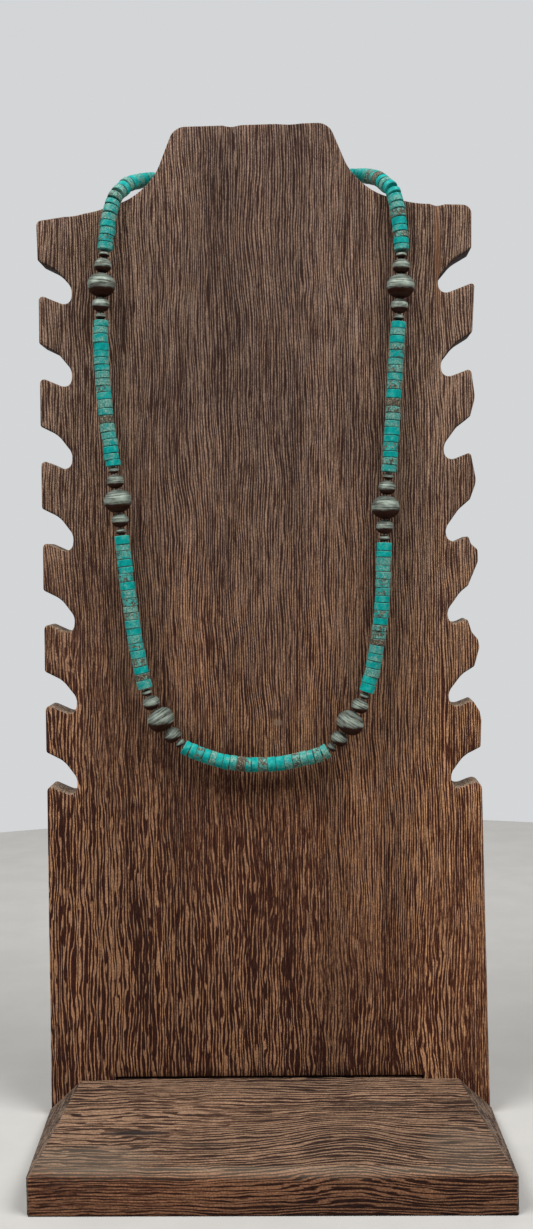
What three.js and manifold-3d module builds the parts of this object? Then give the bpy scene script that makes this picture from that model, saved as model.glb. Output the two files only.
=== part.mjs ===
// A beaded necklace on its wooden display stand.
// Seven runs of turquoise heishi discs alternate with six groups of five silver beads, all strung on one
// fine wire that closes at a barrel clasp behind the neck of the board. The board straddles a thin base.
// Units are millimetres and +Z is up. The origin is the middle of the footprint, on the standing surface.
import * as THREE from 'three';
import { mergeVertices } from 'three/addons/utils/BufferGeometryUtils.js';
import Module from 'manifold-3d';

// Joints and clearances.
const GAP = 0.3;

// The board: a flat plank with a neck, sloping shoulders and hooks cut into both edges. The right
// shoulder's tip stands a little higher than the left one's.
const BOARD_THICKNESS = 11;
const BOARD_HEIGHT = 288.4;
const BOARD_HALF_AT_SHOULDER = 62.6;
const BOARD_HALF_AT_FLOOR = 64.9;
const SHOULDER_HEIGHT = 263.4;
const SHOULDER_SKEW = 0.65;
const NECK_CORNERS = [
  { x: 46, y: 264.9, round: 30, steps: 2 },
  { x: 29.9, y: 269.8, round: 18, steps: 7 },
  { x: 22.2, y: BOARD_HEIGHT, round: 4.5, steps: 4 },
];
const SHOULDER_TIP = { round: 1.6, steps: 2 };
const EDGE_WEAR = 0.8;

// The hooks: slanting slots with a round seat, cut in from each edge of the board, the highest
// first. Corners are given by their inset from the board's edge and their rise from the seat.
const HOOK_TOP = 242.2;
const HOOK_PITCH = 23.8;
const SLOT_DEPTHS = [10, 9.7, 9.4, 9.3, 9.3, 9.5, 9.3];
const SEAT_SLOPE = 0.2;
const SEAT_END = { rise: 1.3, round: 3.5, steps: 2 };
const SLOT_BEND = { inset: 5.6, rise: 6.4, round: 7, steps: 2 };

// The left hooks are all alike.
const LEFT_SEAT = { rise: -4.4, round: 2.4, steps: 3 };
const LEFT_TIP = [{ inset: 0.3, rise: -0.3, round: 1.4, steps: 2 }];
const LEFT_BROW = { inset: 0.3, rise: 9.1, round: 1, steps: 1 };

// The right hooks have shallower seats. Their tips are worn back more and more down to the fifth,
// each listed from the edge below the tip, and so are the brows over the slots.
const RIGHT_SEAT = { rise: -3.7, round: 2.4, steps: 3 };
const RIGHT_TIPS = [
  [{ inset: -0.5, rise: 0.1, round: 1, steps: 2 }],
  [
    { inset: 0, rise: -9, round: 6, steps: 1 },
    { inset: 1.1, rise: -0.7, round: 1.1, steps: 2 },
  ],
  [
    { inset: 0.1, rise: -9.3, round: 5, steps: 1 },
    { inset: 1.7, rise: -0.8, round: 1, steps: 2 },
  ],
  [
    { inset: 0.1, rise: -8.6, round: 3, steps: 1 },
    { inset: 0.2, rise: -5.1, round: 1, steps: 1 },
    { inset: 2.1, rise: -3.4, round: 1.2, steps: 1 },
    { inset: 2.9, rise: -1, round: 0.7, steps: 1 },
  ],
  [
    { inset: 0.2, rise: -9.6, round: 3, steps: 1 },
    { inset: 0.6, rise: -7.3, round: 1, steps: 1 },
    { inset: 2.4, rise: -5.1, round: 2, steps: 1 },
    { inset: 3.6, rise: -1.2, round: 0.7, steps: 1 },
  ],
  [
    { inset: 0.1, rise: -7, round: 3, steps: 1 },
    { inset: 0.6, rise: -4.4, round: 1.2, steps: 1 },
    { inset: 2.6, rise: -1.1, round: 0.8, steps: 1 },
  ],
  [{ inset: 0.4, rise: -0.3, round: 2.2, steps: 3 }],
];
const RIGHT_BROWS = [
  { inset: 0.3, rise: 9.4, round: 1, steps: 1 },
  { inset: 0.6, rise: 9.4, round: 1.2, steps: 1 },
  { inset: 1.7, rise: 9.3, round: 1, steps: 1 },
  { inset: 2.2, rise: 9.3, round: 1, steps: 1 },
  { inset: 3.3, rise: 8.2, round: 1, steps: 1 },
  { inset: 2, rise: 8.6, round: 1.2, steps: 1 },
  { inset: 0.6, rise: 8.9, round: 1, steps: 1 },
];

// The base: a thin plank with flared, bevelled ends, halved from both sides so that the board's feet
// pass down through it to the floor while its middle runs on under the board.
const BASE_THICKNESS = 11;
const BASE_FRONT = 61;
const BASE_BACK = 40;
const BASE_BRIDGE_HALF = 45;
const BASE_SECTIONS = [
  { front: BASE_FRONT, left: 58.9, right: 63.5, bevel: 1.5, drop: 1.5, wear: 0.7 },
  { front: BASE_FRONT - 1, left: 59.6, right: 64.1, bevel: 1.2, drop: 1.2, wear: 0 },
  { front: 0, left: 65.2, right: 65.2, bevel: 9.7, drop: 8.8, wear: 0 },
  { front: 1 - BASE_BACK, left: 65.2, right: 65.2, bevel: 9.7, drop: 8.8, wear: 0 },
  { front: -BASE_BACK, left: 64.5, right: 64.5, bevel: 9.7, drop: 8.1, wear: 0.7 },
];

// The strand's pieces. A silver group is symmetrical about its large bead.
const DISC_RADIUS = 2.15;
const DISC_SIDES = 10;
const DISC_JOINT_WIDTH = 0.3;
const DISC_JOINT_DEPTH = 0.4;
const WIRE_RADIUS = 0.3;
const WIRE_SIDES = 6;
const WIRE_STEPS = 5;
const BORE_RADIUS = 0.7;
const BEAD_FULLNESS = 0.85;
const SILVER_BEADS = {
  small: { radius: 1.5, length: 1.8, sides: 10, bands: 3 },
  medium: { radius: 2.5, length: 4, sides: 12, bands: 4 },
  large: { radius: 4, length: 6.6, sides: 14, bands: 6 },
};
const SILVER_GROUP = ['small', 'medium', 'large', 'medium', 'small'];
const HEISHI_RUNS = [
  { discs: 28 },
  { discs: 20, length: 41.7 },
  { discs: 20, length: 44.7 },
  { discs: 20, length: 43.6 },
  { discs: 20, length: 43.4 },
  { discs: 20, length: 42.6 },
  { discs: 28 },
];
// The clasp is a barrel: each half narrows to its wire end, and a fine groove runs where they meet.
const CLASP_LENGTH = 14;
const CLASP_RADIUS = 2.4;
const CLASP_SIDES = 12;
const CLASP_END_RADIUS = 1.45;
const CLASP_TAPER = 2.1;
const CLASP_GROOVE = { depth: 0.3, half: 0.4 };

// The closed route of the wire: from behind the neck over the left shoulder, down to the lowest
// disc and up over the right. across is measured from the board's middle, front from its face.
const STRAND_ROUTE = [
  { across: 0.5, front: -13.7, up: 277 },
  { across: -12.5, front: -13.7, up: 277 },
  { across: -24, front: -13.8, up: 277.2 },
  { across: -29.2, front: -12.9, up: 276.9 },
  { across: -32.1, front: -10, up: 276.1 },
  { across: -34.1, front: -6.8, up: 274.9 },
  { across: -35.9, front: -3.4, up: 273.3 },
  { across: -37.5, front: -0.6, up: 271.1 },
  { across: -39.1, front: 1.7, up: 268.4 },
  { across: -40.4, front: 2.9, up: 264.4 },
  { across: -41.3, front: 3.4, up: 259.4 },
  { across: -42.1, front: 3.75, up: 253.9 },
  { across: -43.45, front: 4.3, up: 241.6 },
  { across: -43.9, front: 4.3, up: 223 },
  { across: -43, front: 4.3, up: 207 },
  { across: -41.3, front: 4.3, up: 192.5 },
  { across: -39.95, front: 4.3, up: 180 },
  { across: -38.55, front: 4.3, up: 164 },
  { across: -36.95, front: 4.3, up: 148.5 },
  { across: -34.9, front: 4.3, up: 134.5 },
  { across: -32.45, front: 4.3, up: 124.8 },
  { across: -28.5, front: 4.3, up: 117.4 },
  { across: -23.3, front: 4.3, up: 111 },
  { across: -17.6, front: 4.3, up: 108.1 },
  { across: -10.2, front: 4.3, up: 105.65 },
  { across: -1.9, front: 4.3, up: 104.7 },
  { across: 6.4, front: 4.3, up: 105.4 },
  { across: 13.8, front: 4.3, up: 106.8 },
  { across: 19.9, front: 4.3, up: 109.4 },
  { across: 25.6, front: 4.3, up: 116.75 },
  { across: 29.9, front: 4.3, up: 124.8 },
  { across: 32.7, front: 4.3, up: 134.5 },
  { across: 34.9, front: 4.3, up: 148.5 },
  { across: 35.8, front: 4.3, up: 164 },
  { across: 36.7, front: 4.3, up: 180 },
  { across: 38.1, front: 4.3, up: 192.5 },
  { across: 39.2, front: 4.3, up: 207 },
  { across: 40.35, front: 4.3, up: 223 },
  { across: 41.8, front: 4.3, up: 241.6 },
  { across: 42.1, front: 3.75, up: 253.4 },
  { across: 41.6, front: 3.4, up: 259.5 },
  { across: 41, front: 2.9, up: 263.8 },
  { across: 39.9, front: 1.8, up: 267.9 },
  { across: 38.2, front: -0.5, up: 270.3 },
  { across: 36.7, front: -3.2, up: 272.5 },
  { across: 34.9, front: -6.6, up: 274.3 },
  { across: 32.8, front: -9.9, up: 275.5 },
  { across: 29.8, front: -12.9, up: 276.5 },
  { across: 25, front: -13.8, up: 277 },
  { across: 13.5, front: -13.7, up: 277 },
];
// How far the clasp has slipped round from the middle of the neck towards the right shoulder.
const STRAND_SLIP = -0.75;
const ROUTE_SAMPLES = 4000;

// Footprint and frame: the face of the board stands this far behind the middle of the footprint.
const BOARD_FACE_Y = (BASE_FRONT - BASE_BACK) / 2;

const FINISHES = {
  board_wood: new THREE.MeshStandardMaterial({ color: '#5b4030', roughness: 0.85, metalness: 0 }),
  base_wood: new THREE.MeshStandardMaterial({ color: '#7a6350', roughness: 0.85, metalness: 0 }),
  turquoise: new THREE.MeshStandardMaterial({ color: '#35a79c', roughness: 0.55, metalness: 0 }),
  silver: new THREE.MeshStandardMaterial({ color: '#a5a79c', roughness: 0.35, metalness: 1 }),
  steel_wire: new THREE.MeshStandardMaterial({ color: '#6d6f70', roughness: 0.4, metalness: 1 }),
};

const wasm = await Module();
wasm.setup();

function namedMesh(name, geometry, finish) {
  const mesh = new THREE.Mesh(geometry, FINISHES[finish]);
  mesh.name = name;
  return mesh;
}

function solidOf(geometry) {
  const bare = geometry.clone();
  bare.deleteAttribute('normal');
  bare.deleteAttribute('uv');
  const merged = mergeVertices(bare, 1e-4);
  return new wasm.Manifold(
    new wasm.Mesh({
      numProp: 3,
      vertProperties: merged.attributes.position.array,
      triVerts: new Uint32Array(merged.index.array),
    }),
  );
}

function geometryOf(solid) {
  const mesh = solid.getMesh();
  const geometry = new THREE.BufferGeometry();
  geometry.setAttribute('position', new THREE.BufferAttribute(mesh.vertProperties, 3));
  geometry.setIndex(new THREE.BufferAttribute(mesh.triVerts, 1));
  return geometry;
}

// One closed body through a row of rings that all have the same number of points.
function loftedBody(rings) {
  const sides = rings[0].length;
  const points = rings.flat();
  const faces = [];
  for (let r = 0; r + 1 < rings.length; r++) {
    for (let s = 0; s < sides; s++) {
      const a = r * sides + s;
      const b = r * sides + ((s + 1) % sides);
      faces.push(a, b, b + sides, a, b + sides, a + sides);
    }
  }
  const last = (rings.length - 1) * sides;
  for (let s = 1; s + 1 < sides; s++) {
    faces.push(0, s + 1, s);
    faces.push(last, last + s, last + s + 1);
  }
  const geometry = new THREE.BufferGeometry().setFromPoints(points);
  geometry.setIndex(faces);
  return geometry;
}

// A polygon whose corners are rounded, each with its own radius and number of steps.
function roundedOutline(corners) {
  return corners.flatMap((corner, i) => {
    const here = new THREE.Vector2(corner.x, corner.y);
    if (!corner.round) return [here];
    const before = corners[(i + corners.length - 1) % corners.length];
    const after = corners[(i + 1) % corners.length];
    const towardsBefore = new THREE.Vector2(before.x, before.y).sub(here).normalize();
    const towardsAfter = new THREE.Vector2(after.x, after.y).sub(here).normalize();
    const halfAngle = Math.acos(towardsBefore.dot(towardsAfter)) / 2;
    const bisector = towardsBefore.clone().add(towardsAfter).normalize();
    const centre = here.clone().addScaledVector(bisector, corner.round / Math.sin(halfAngle));
    const reach = corner.round / Math.tan(halfAngle);
    const start = here.clone().addScaledVector(towardsBefore, reach).sub(centre);
    const end = here.clone().addScaledVector(towardsAfter, reach).sub(centre);
    const turn = Math.atan2(start.cross(end), start.dot(end));
    const steps = corner.steps;
    return Array.from({ length: steps + 1 }, (_, k) =>
      start.clone().rotateAround(new THREE.Vector2(), (turn * k) / steps).add(centre),
    );
  });
}

function boardHalfWidth(height) {
  const rise = height / SHOULDER_HEIGHT;
  return THREE.MathUtils.lerp(BOARD_HALF_AT_FLOOR, BOARD_HALF_AT_SHOULDER, rise);
}

// The corners of one hook as it looks on the right edge, from its tip up to the brow over its slot.
function hookCorners(index, tip, seat, brow) {
  const seatHeight = HOOK_TOP - HOOK_PITCH * index;
  const depth = SLOT_DEPTHS[index];
  const slot = [{ ...seat, inset: depth - SEAT_SLOPE }, { ...SEAT_END, inset: depth }, SLOT_BEND];
  return [...tip, ...slot, brow].map(({ inset, rise, round, steps }) => ({
    x: boardHalfWidth(seatHeight) - inset,
    y: seatHeight + rise,
    round,
    steps,
  }));
}

// The hooks of one edge from the lowest to the highest.
function edgeHooks(side) {
  const hooks = SLOT_DEPTHS.map((_, k) =>
    side === 'right'
      ? hookCorners(k, RIGHT_TIPS[k], RIGHT_SEAT, RIGHT_BROWS[k])
      : hookCorners(k, LEFT_TIP, LEFT_SEAT, LEFT_BROW),
  );
  return hooks.reverse().flat();
}

// Half of the board's outline, drawn as if on the right, with its shoulder raised by skew.
function halfBoardCorners(side, skew) {
  return [
    { x: BASE_BRIDGE_HALF + GAP, y: BASE_THICKNESS + GAP },
    { x: BASE_BRIDGE_HALF + GAP, y: 0 },
    { x: BOARD_HALF_AT_FLOOR, y: 0 },
    ...edgeHooks(side),
    { x: BOARD_HALF_AT_SHOULDER, y: SHOULDER_HEIGHT + skew, ...SHOULDER_TIP },
    ...NECK_CORNERS,
  ];
}

function standBoard() {
  const right = halfBoardCorners('right', SHOULDER_SKEW);
  const left = halfBoardCorners('left', -SHOULDER_SKEW)
    .map((corner) => ({ ...corner, x: -corner.x }))
    .reverse();
  const outline = new THREE.Shape(roundedOutline([...right, ...left]));
  const geometry = new THREE.ExtrudeGeometry(outline, {
    depth: BOARD_THICKNESS - 2 * EDGE_WEAR,
    bevelThickness: EDGE_WEAR,
    bevelSize: EDGE_WEAR,
    bevelOffset: -EDGE_WEAR,
    bevelSegments: 1,
  });
  // Extruded along +Z with its outline in XY, then stood up so that its face looks towards -Y.
  geometry.rotateX(Math.PI / 2);
  geometry.translate(0, BOARD_FACE_Y + BOARD_THICKNESS - EDGE_WEAR, 0);
  return namedMesh('stand_board', geometry, 'board_wood');
}

// One cross-section of the base, seen from the front: flat below, bevelled at both ends.
function baseSection({ front, left, right, bevel, drop, wear }) {
  const y = BOARD_FACE_Y - front;
  return [
    new THREE.Vector3(-left, y, 0),
    new THREE.Vector3(-left, y, BASE_THICKNESS - drop),
    new THREE.Vector3(-left + bevel, y, BASE_THICKNESS - wear),
    new THREE.Vector3(right - bevel, y, BASE_THICKNESS - wear),
    new THREE.Vector3(right, y, BASE_THICKNESS - drop),
    new THREE.Vector3(right, y, 0),
  ];
}

// The open-ended slot in one end of the base that a foot of the board stands in.
function footSlot(side) {
  const reach = BOARD_HALF_AT_FLOOR;
  const tallerThanBase = 3 * BASE_THICKNESS;
  const slot = new THREE.BoxGeometry(reach, BOARD_THICKNESS + 2 * GAP, tallerThanBase);
  slot.translate(side * (BASE_BRIDGE_HALF + reach / 2), BOARD_FACE_Y + BOARD_THICKNESS / 2, 0);
  return solidOf(slot);
}

function standBase() {
  const plank = solidOf(loftedBody(BASE_SECTIONS.map(baseSection)));
  const halved = plank.subtract(footSlot(-1)).subtract(footSlot(1));
  return namedMesh('stand_base', geometryOf(halved), 'base_wood');
}

function strandRoute() {
  const places = STRAND_ROUTE.map(
    ({ across, front, up }) => new THREE.Vector3(across, BOARD_FACE_Y - front, up),
  );
  const route = new THREE.CatmullRomCurve3(places, true, 'catmullrom', 0.5);
  route.arcLengthDivisions = ROUTE_SAMPLES;
  return route;
}

const route = strandRoute();
const routeLength = route.getLength();
const routeFrames = route.computeFrenetFrames(ROUTE_SAMPLES, true);

// The wire's place and directions at a distance along it from the middle of the clasp.
function strandFrame(distance) {
  const turn = THREE.MathUtils.euclideanModulo(distance / routeLength, 1);
  const sample = Math.round(turn * ROUTE_SAMPLES);
  const along = routeFrames.tangents[sample];
  const across = routeFrames.normals[sample];
  return { point: route.getPointAt(turn), along, across, third: along.clone().cross(across) };
}

function strandRing(distance, radius, sides) {
  const { point, across, third } = strandFrame(distance);
  return Array.from({ length: sides }, (_, k) => {
    const angle = (2 * Math.PI * k) / sides;
    return point
      .clone()
      .addScaledVector(across, radius * Math.cos(angle))
      .addScaledVector(third, radius * Math.sin(angle));
  });
}

// A closed profile turned about the wire's direction and threaded on at a distance along it.
function threadedLathe(name, profile, sides, distance, finish) {
  const mesh = namedMesh(name, new THREE.LatheGeometry(profile, sides), finish);
  const { point, along, across } = strandFrame(distance);
  const matrix = new THREE.Matrix4().makeBasis(across, along, across.clone().cross(along));
  mesh.applyMatrix4(matrix.setPosition(point));
  return mesh;
}

// A run of discs on their thread, one body, with a narrow groove at each joint between two discs.
function heishiRun(name, start, length, discs) {
  const pitch = length / discs;
  const grooveRadius = DISC_RADIUS - DISC_JOINT_DEPTH;
  const rings = [];
  for (let disc = 0; disc < discs; disc++) {
    const near = start + disc * pitch;
    if (disc > 0) rings.push(strandRing(near, grooveRadius, DISC_SIDES));
    rings.push(strandRing(near + DISC_JOINT_WIDTH / 2, DISC_RADIUS, DISC_SIDES));
    rings.push(strandRing(near + pitch - DISC_JOINT_WIDTH / 2, DISC_RADIUS, DISC_SIDES));
  }
  return namedMesh(name, loftedBody(rings), 'turquoise');
}

// A saucer bead: a full oval profile cut off at the bore that the wire runs through.
function silverBead(name, { radius, length, sides, bands }, distance) {
  const steepest = Math.acos((BORE_RADIUS / radius) ** (1 / BEAD_FULLNESS));
  const profile = Array.from({ length: bands + 1 }, (_, k) => {
    const angle = steepest * ((2 * k) / bands - 1);
    const height = (length / 2) * (Math.sin(angle) / Math.sin(steepest));
    return new THREE.Vector2(radius * Math.cos(angle) ** BEAD_FULLNESS, height);
  });
  profile.push(profile[0].clone());
  return threadedLathe(name, profile, sides, distance, 'silver');
}

function wireStretch(name, start, length) {
  const distances = Array.from({ length: WIRE_STEPS + 1 }, (_, k) => start + (length * k) / WIRE_STEPS);
  const path = new THREE.CatmullRomCurve3(distances.map((distance) => strandFrame(distance).point));
  const section = new THREE.Shape().absarc(0, 0, WIRE_RADIUS, 0, 2 * Math.PI);
  const outline = new THREE.Shape(section.getSpacedPoints(WIRE_SIDES).slice(0, WIRE_SIDES));
  const geometry = new THREE.ExtrudeGeometry(outline, { steps: WIRE_STEPS, extrudePath: path });
  return namedMesh(name, geometry, 'steel_wire');
}

function barrelClasp() {
  const end = CLASP_LENGTH / 2;
  const upperHalf = [
    new THREE.Vector2(CLASP_RADIUS, CLASP_GROOVE.half),
    new THREE.Vector2(CLASP_RADIUS, end - CLASP_TAPER),
    new THREE.Vector2(CLASP_END_RADIUS, end),
    new THREE.Vector2(0, end),
  ];
  const lowerHalf = upperHalf.map((point) => new THREE.Vector2(point.x, -point.y)).reverse();
  const groove = new THREE.Vector2(CLASP_RADIUS - CLASP_GROOVE.depth, 0);
  const profile = [...lowerHalf, groove, ...upperHalf];
  return threadedLathe('barrel_clasp', profile, CLASP_SIDES, STRAND_SLIP, 'silver');
}

const silverGroupLength = SILVER_GROUP.reduce(
  (sum, size) => sum + SILVER_BEADS[size].length + GAP,
  GAP,
);

// The five beads of one silver group and the bare wire that carries them from run to run.
function silverGroup(index, start) {
  const group = new THREE.Group();
  let reached = start + GAP;
  SILVER_GROUP.forEach((size, place) => {
    const bead = SILVER_BEADS[size];
    const name = `silver_${index}_${size}_${place + 1}`;
    group.add(silverBead(name, bead, reached + bead.length / 2));
    reached += bead.length + GAP;
  });
  group.add(wireStretch(`wire_${index}`, start + GAP, silverGroupLength - 2 * GAP));
  return group;
}

// The end runs share what the loop's length leaves, so that the strand closes at the clasp.
function endRunLength() {
  const middleRuns = HEISHI_RUNS.reduce((sum, run) => sum + (run.length ?? 0), 0);
  const groups = (HEISHI_RUNS.length - 1) * silverGroupLength;
  return (routeLength - CLASP_LENGTH - 2 * GAP - middleRuns - groups) / 2;
}

function necklace() {
  const strand = new THREE.Group();
  strand.add(barrelClasp());
  let reached = STRAND_SLIP + CLASP_LENGTH / 2 + GAP;
  HEISHI_RUNS.forEach(({ discs, length = endRunLength() }, k) => {
    strand.add(heishiRun(`heishi_run_${k + 1}`, reached, length, discs));
    reached += length;
    if (k + 1 < HEISHI_RUNS.length) strand.add(silverGroup(k + 1, reached));
    reached += silverGroupLength;
  });
  return strand;
}

const necklaceOnStand = new THREE.Group();
necklaceOnStand.add(standBoard(), standBase(), necklace());

export default necklaceOnStand;
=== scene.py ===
"""A turquoise and silver necklace on its scorched-wood stand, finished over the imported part."""

import math
import random
from bisect import bisect_right

import bmesh
import bpy
from mathutils import Matrix, Vector, geometry, noise


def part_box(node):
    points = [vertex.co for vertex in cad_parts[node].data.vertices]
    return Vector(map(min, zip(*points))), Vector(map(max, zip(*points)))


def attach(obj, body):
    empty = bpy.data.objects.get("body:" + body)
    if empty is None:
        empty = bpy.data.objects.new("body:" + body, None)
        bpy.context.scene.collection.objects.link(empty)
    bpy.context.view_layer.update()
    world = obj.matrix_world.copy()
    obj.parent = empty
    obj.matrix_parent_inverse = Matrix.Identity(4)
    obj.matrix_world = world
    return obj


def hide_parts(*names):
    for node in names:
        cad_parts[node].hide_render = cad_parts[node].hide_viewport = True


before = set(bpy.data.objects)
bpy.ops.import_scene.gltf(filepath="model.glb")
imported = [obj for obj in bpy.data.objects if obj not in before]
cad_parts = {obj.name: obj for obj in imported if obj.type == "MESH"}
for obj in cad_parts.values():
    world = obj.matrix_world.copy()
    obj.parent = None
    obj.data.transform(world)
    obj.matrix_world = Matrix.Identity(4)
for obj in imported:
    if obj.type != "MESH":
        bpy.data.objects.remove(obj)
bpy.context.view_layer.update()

# ---------------------------------------------------------------------------------------------
# Viewpoint: a little above the middle of the board and nearly 40 cm in front of it, looking
# slightly down through a normal lens.
MM = 0.001
EYE = Vector((14.84, -379.5, 165.2)) * MM
PAN, TILT, ROLL = 1.91, -2.53, 1.09
LENS, SENSOR = 39.4, 36
NEAREST = 0.01


def link_object(name, data):
    made = bpy.data.objects.new(name, data)
    bpy.context.scene.collection.objects.link(made)
    return made


def turn(degrees, axis):
    return Matrix.Rotation(math.radians(degrees), 4, axis)


camera = link_object("camera", bpy.data.cameras.new("camera"))
camera.data.lens = LENS
camera.data.sensor_width = SENSOR
camera.data.clip_start = NEAREST
upright = turn(90, "X")
camera.matrix_world = (
    Matrix.Translation(EYE) @ turn(PAN, "Z") @ turn(TILT, "X") @ turn(ROLL, "Y") @ upright
)
bpy.context.scene.camera = camera
bpy.context.scene.view_settings.view_transform = "Standard"

# ---------------------------------------------------------------------------------------------
# Studio: a round pale floor under a pale sky that dims towards the viewer, and two soft boxes
# high on either side that light the front of the board evenly.
FLOOR_RADIUS, FLOOR_SIDES = 0.46, 96
FLOOR_TONE, FLOOR_ROUGHNESS = (0.42, 0.41, 0.39), 0.9
FLOOR_SPECKLE = {"size": (0.02, 0.02, 0.02), "ease": (0.3, 0.7), "shades": (0.97, 1.03)}
SKY_TONE = (0.96, 0.98, 1.0)
SKY_DIM, SKY_BRIGHT = 0.1, 0.68
SKY_FROM, SKY_TO = -0.1, 0.95
SOFT_BOXES = [
    {"name": "soft_box_left", "place": (-0.50, -0.42, 0.98), "side": 0.6, "watts": 12.5},
    {"name": "soft_box_right", "place": (0.54, -0.40, 1.00), "side": 0.6, "watts": 13.2},
]
AIM = Vector((0, 0, 0.17))


def new_finish(name):
    finish = bpy.data.materials.new(name)
    finish.use_nodes = True
    return finish, finish.node_tree, finish.node_tree.nodes["Principled BSDF"]


def add_node(tree, kind, settings=None, **inputs):
    """A node of that kind. An input is a value or the output socket it is fed from."""
    made = tree.nodes.new("ShaderNode" + kind)
    for key, value in (settings or {}).items():
        setattr(made, key, value)
    for key, value in inputs.items():
        number = key[1:]
        socket = made.inputs[int(number) if number.isdigit() else key.replace("_", " ")]
        if isinstance(value, bpy.types.NodeSocket):
            tree.links.new(value, socket)
        else:
            socket.default_value = value
    return made


def smooth_range(tree, value, low, high, to_low=0.0, to_high=1.0):
    """value eased from to_low to to_high as it goes from low to high."""
    ends = {"i1": low, "i2": high, "i3": to_low, "i4": to_high}
    return add_node(
        tree, "MapRange", {"interpolation_type": "SMOOTHSTEP"}, i0=value, **ends
    ).outputs[0]


def shade_of(tree, value, layer):
    """A value eased over a layer's own stretch of it, from one of its shades to the other."""
    return smooth_range(tree, value, *layer["ease"], *layer["shades"])


def blend_colours(tree, share, first, second, how="MIX"):
    """second laid over first by share."""
    return add_node(
        tree, "Mix", {"data_type": "RGBA", "blend_type": how}, i0=share, i6=first, i7=second
    ).outputs[2]


def math_of(tree, operation, first, second=0.0):
    return add_node(tree, "Math", {"operation": operation}, i0=first, i1=second).outputs[0]


def rgba(colour):
    return (*colour, 1.0)


def object_place(tree):
    return add_node(tree, "TexCoord").outputs["Object"]


def stretched_noise(tree, place, sizes, detail=2.0, rough=0.55):
    """Noise whose features are about sizes, in metres, along X, Y and Z."""
    spread = add_node(tree, "Mapping", Vector=place, Scale=[1 / s for s in sizes]).outputs[0]
    return add_node(
        tree, "TexNoise", Vector=spread, Scale=1.0, Detail=detail, Roughness=rough
    )


floor_finish, tree, shader = new_finish("pale_floor")
speckle = stretched_noise(tree, object_place(tree), FLOOR_SPECKLE["size"], detail=4.0).outputs[0]
shade = shade_of(tree, speckle, FLOOR_SPECKLE)
floor_colour = blend_colours(tree, 1.0, rgba(FLOOR_TONE), shade, "MULTIPLY")
tree.links.new(floor_colour, shader.inputs["Base Color"])
shader.inputs["Roughness"].default_value = FLOOR_ROUGHNESS

bm = bmesh.new()
bmesh.ops.create_circle(bm, cap_ends=True, radius=FLOOR_RADIUS, segments=FLOOR_SIDES)
floor_mesh = bpy.data.meshes.new("floor")
bm.to_mesh(floor_mesh)
bm.free()
floor_mesh.materials.append(floor_finish)
link_object("floor", floor_mesh)

for box in SOFT_BOXES:
    lamp = bpy.data.lights.new(box["name"], "AREA")
    lamp.size = box["side"]
    lamp.energy = box["watts"]
    held = link_object(box["name"], lamp)
    held.location = box["place"]
    held.rotation_euler = (AIM - held.location).to_track_quat("-Z", "Y").to_euler()

sky = bpy.data.worlds.new("sky")
sky.use_nodes = True
background = sky.node_tree.nodes["Background"]
background.inputs["Color"].default_value = rgba(SKY_TONE)
heading = add_node(sky.node_tree, "TexCoord").outputs["Generated"]
behind = add_node(sky.node_tree, "SeparateXYZ", Vector=heading).outputs["Y"]
glow = smooth_range(sky.node_tree, behind, SKY_FROM, SKY_TO, SKY_DIM, SKY_BRIGHT)
sky.node_tree.links.new(glow, background.inputs["Strength"])
bpy.context.scene.world = sky

# ---------------------------------------------------------------------------------------------
# Board: one plank of coarse open-grained wood, band-sawn to a neck, shoulders and seven hooks a
# side, then scorched and wire-brushed, so that the grain stands up and every arris is worn pale.
BOARD_LOW, BOARD_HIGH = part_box("stand_board")
BOARD_FACE = BOARD_LOW.y
BOARD_THICKNESS = BOARD_HIGH.y - BOARD_LOW.y
# The outline, in millimetres.
HALF_AT_FLOOR, HALF_AT_SHOULDER = 64.9, 62.6
SHOULDER_UP, SHOULDER_SKEW = 263.4, 0.65
LEFT_SHOULDER_ROUND, RIGHT_SHOULDER_ROUND = 1.6, 2.6
NECK_CORNERS = [(46, 264.9, 30), (29.9, 269.8, 18), (22.2, 288.4, 4.5)]
NOTCH_HALF, NOTCH_UP = 45.3, 11.3
HOOK_TOP, HOOK_PITCH = 242.2, 23.8
# The hooks' corners: inset from the board's edge, rise from the seat of the slot, and rounding.
# The slot has three: its seat, its blind end and the slope of its roof.
SLOT_DEPTHS = [10, 9.7, 9.4, 9.3, 9.3, 9.5, 9.3]
SEAT_SHORT, SEAT_ROUND = 0.2, 2.4
SLOT_END, SLOT_ROOF = (1.3, 3.5), (5.6, 6.4, 7.0)
LEFT_HOOK = {"tip": [(0.3, -0.3, 1.4)], "seat": -4.4, "brow": (0.3, 9.1, 1.0)}
RIGHT_HOOKS = [
    {"tip": [(-0.5, 0.1, 1.0)], "brow": (0.3, 9.4, 1.0)},
    {"tip": [(0.0, -9.0, 6.0), (1.1, -0.7, 1.1)], "brow": (0.6, 9.4, 1.2)},
    {"tip": [(0.1, -9.3, 5.0), (1.7, -0.8, 1.0)], "brow": (1.7, 9.3, 1.0)},
    {
        "tip": [(0.1, -8.6, 3.0), (0.2, -5.1, 1.0), (2.1, -3.4, 1.2), (2.9, -1.0, 0.7)],
        "brow": (2.2, 9.3, 1.0),
    },
    {
        "tip": [(0.2, -9.6, 3.0), (0.6, -7.3, 1.0), (2.4, -5.1, 2.0), (3.6, -1.2, 0.7)],
        "brow": (3.3, 8.2, 1.0),
    },
    {"tip": [(0.1, -7.0, 3.0), (0.6, -4.4, 1.2), (2.6, -1.1, 0.8)], "brow": (2.0, 8.6, 1.2)},
    {"tip": [(0.4, -0.3, 2.2)], "brow": (0.6, 8.9, 1.0)},
]
RIGHT_SEAT = -3.7
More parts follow.
